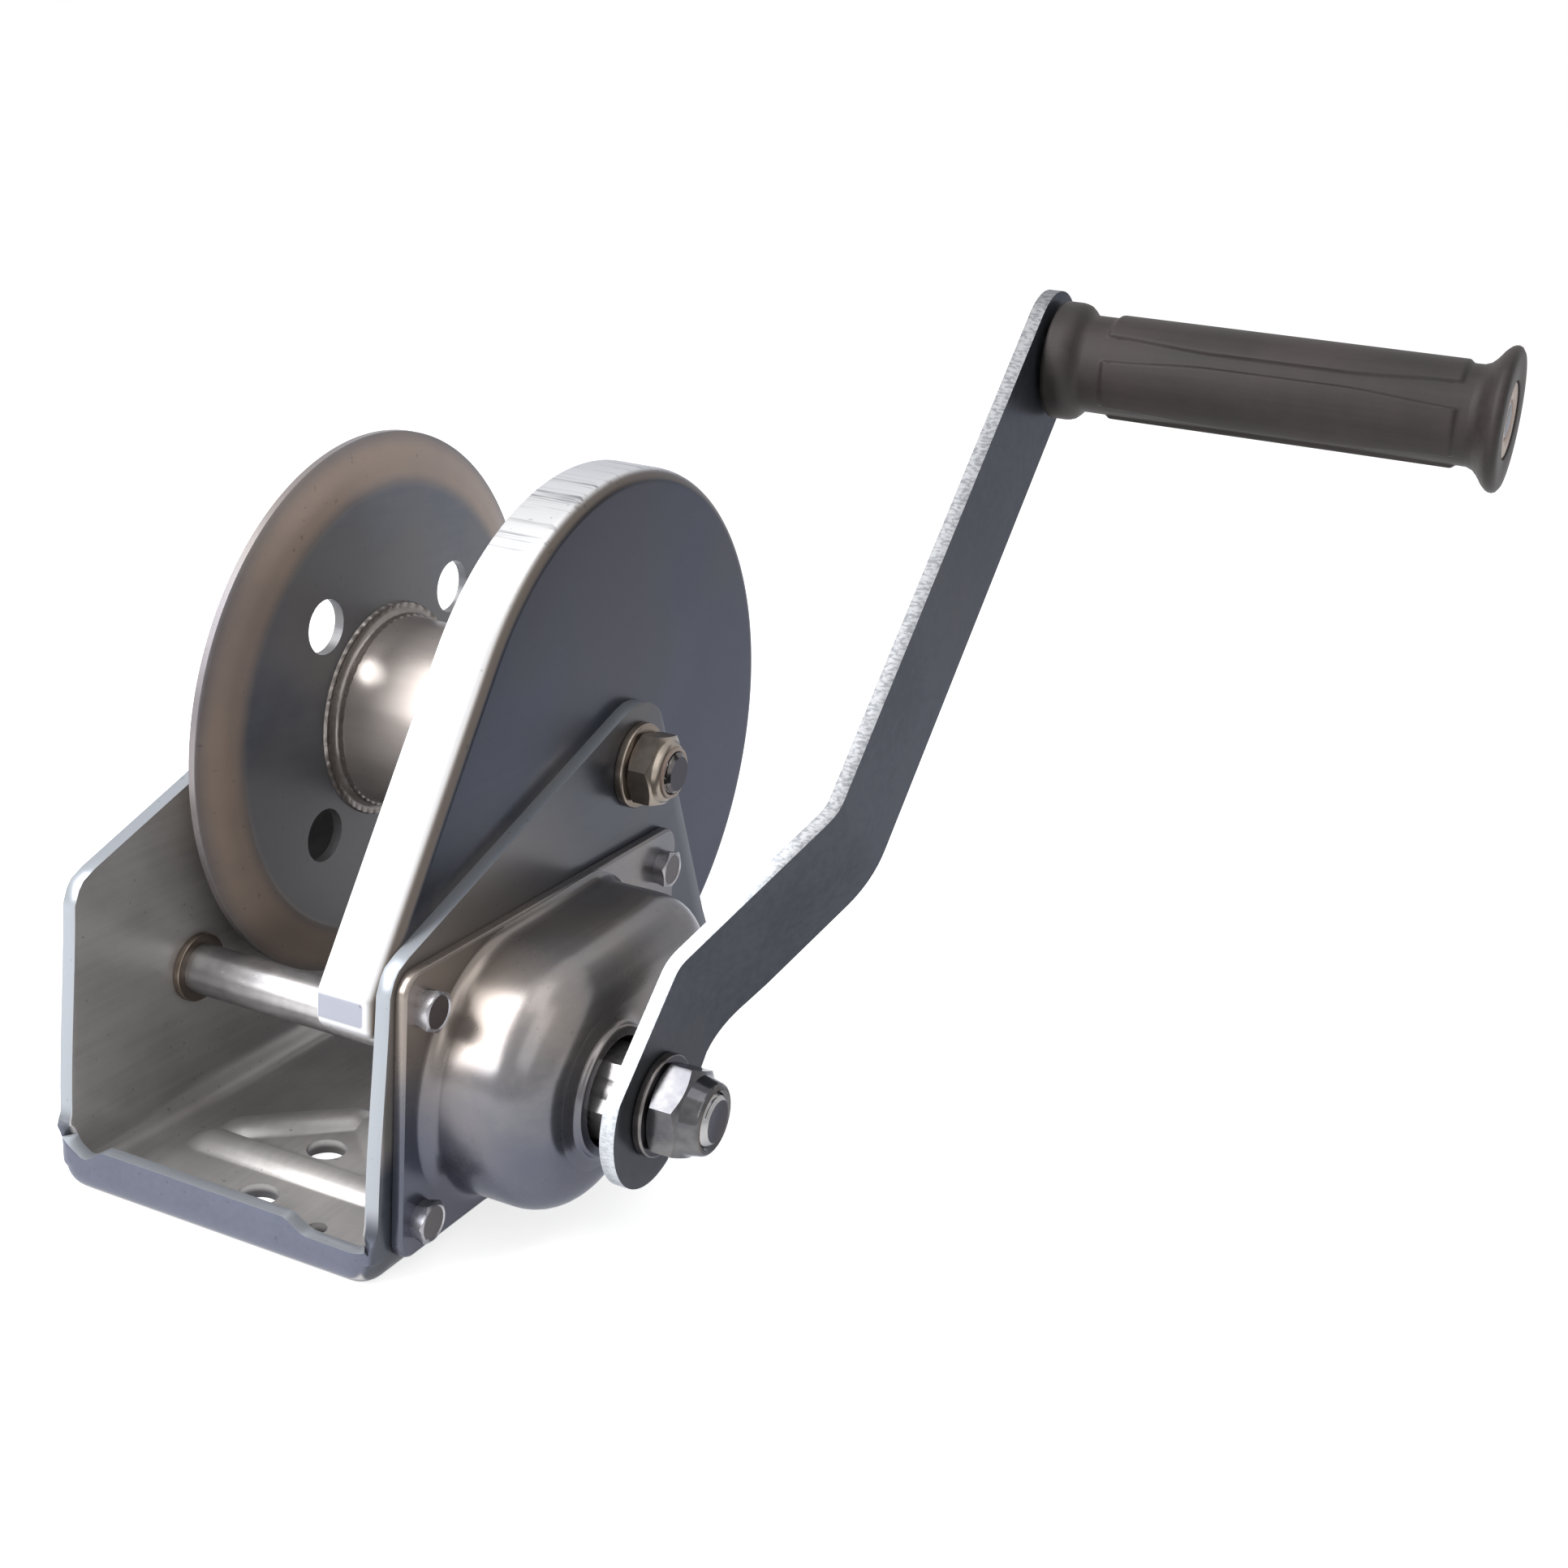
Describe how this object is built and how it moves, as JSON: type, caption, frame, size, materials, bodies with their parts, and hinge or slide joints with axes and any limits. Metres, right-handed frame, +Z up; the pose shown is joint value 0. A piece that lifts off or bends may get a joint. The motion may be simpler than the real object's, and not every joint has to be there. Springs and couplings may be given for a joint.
{
  "type": "hand winch",
  "caption": "Hand winch with a geared open drum in a folded steel frame, an automatic load brake under a domed cover, and a cranked handle with a turning grip.",
  "frame": {"origin": "on the underside of the base, midway between the frame's two walls, straight below the drum axis", "axes": "+X along the drum axis towards the crank and grip, +Y to the back of the winch, +Z up from the base"},
  "size_m": [0.3099, 0.2425, 0.2361],
  "materials": {
    "zinc_sheet": "zinc-plated pressed sheet, semi-bright",
    "bright_zinc": "bright zinc plate",
    "plain_steel": "oiled machined steel",
    "bronze": "sintered bronze, satin",
    "brake_lining": "moulded friction lining, matt",
    "grip_rubber": "dark moulded grip, satin",
    "nylon": "natural nylon, matt"
  },
  "bodies": {
    "frame": {"frame": "zinc_sheet", "gear_cover": "bright_zinc", "brake_cover": "zinc_sheet", "cover_screws": "bright_zinc", "shaft_bush_left": "bronze", "shaft_bush_right": "bronze", "drum_bolt": "bright_zinc", "drum_bolt_washers": "bright_zinc", "drum_nut": "bright_zinc", "drum_nut_insert": "nylon", "drum_sleeve": "plain_steel", "pawl_pin": "bright_zinc", "pawl_clip": "plain_steel", "pawl_spring": "plain_steel"},
    "drum": {"drum_flange": "zinc_sheet", "drum_barrel": "bright_zinc", "drum_gear": "plain_steel", "drum_bushes": "bronze"},
    "drive": {"drive_shaft": "bright_zinc", "pinion": "plain_steel", "shaft_clip": "plain_steel", "brake_flange": "plain_steel", "friction_discs": "brake_lining", "crank_washer": "bright_zinc", "crank_nut": "bright_zinc", "crank_nut_insert": "nylon"},
    "ratchet": {"ratchet_wheel": "plain_steel"},
    "pawl": {"pawl": "plain_steel"},
    "crank": {"crank_hub": "plain_steel", "crank_arm": "bright_zinc", "grip_spindle": "plain_steel", "grip_washer": "nylon"},
    "grip": {"grip": "grip_rubber"}
  },
  "joints": [
    {"name": "drum_spin", "type": "hinge", "parent": "frame", "child": "drum", "pos_m": [0, 0, 0.106], "axis": [1, 0, 0], "continuous": true},
    {"name": "drive_spin", "type": "hinge", "parent": "frame", "child": "drive", "pos_m": [0, -0.06864, 0.0455], "axis": [1, 0, 0], "continuous": true},
    {"name": "crank_back_off", "type": "hinge", "parent": "drive", "child": "crank", "pos_m": [0, -0.06864, 0.0455], "axis": [1, 0, 0], "range_deg": [0, 20]},
    {"name": "ratchet_spin", "type": "hinge", "parent": "frame", "child": "ratchet", "pos_m": [0, -0.06864, 0.0455], "axis": [1, 0, 0], "continuous": true},
    {"name": "pawl_swing", "type": "hinge", "parent": "frame", "child": "pawl", "pos_m": [0, -0.02464, 0.0675], "axis": [1, 0, 0], "range_deg": [0, 7.5], "stiffness_Nm_per_rad": 0.02, "springref_deg": -17.19},
    {"name": "grip_spin", "type": "hinge", "parent": "crank", "child": "grip", "pos_m": [0.18, 0.10248, 0.21662], "axis": [1, 0, 0], "continuous": true}
  ],
  "couplings": [
    {"joint": "drive_spin", "follows": "drum_spin", "ratio": -4.0833}
  ]
}
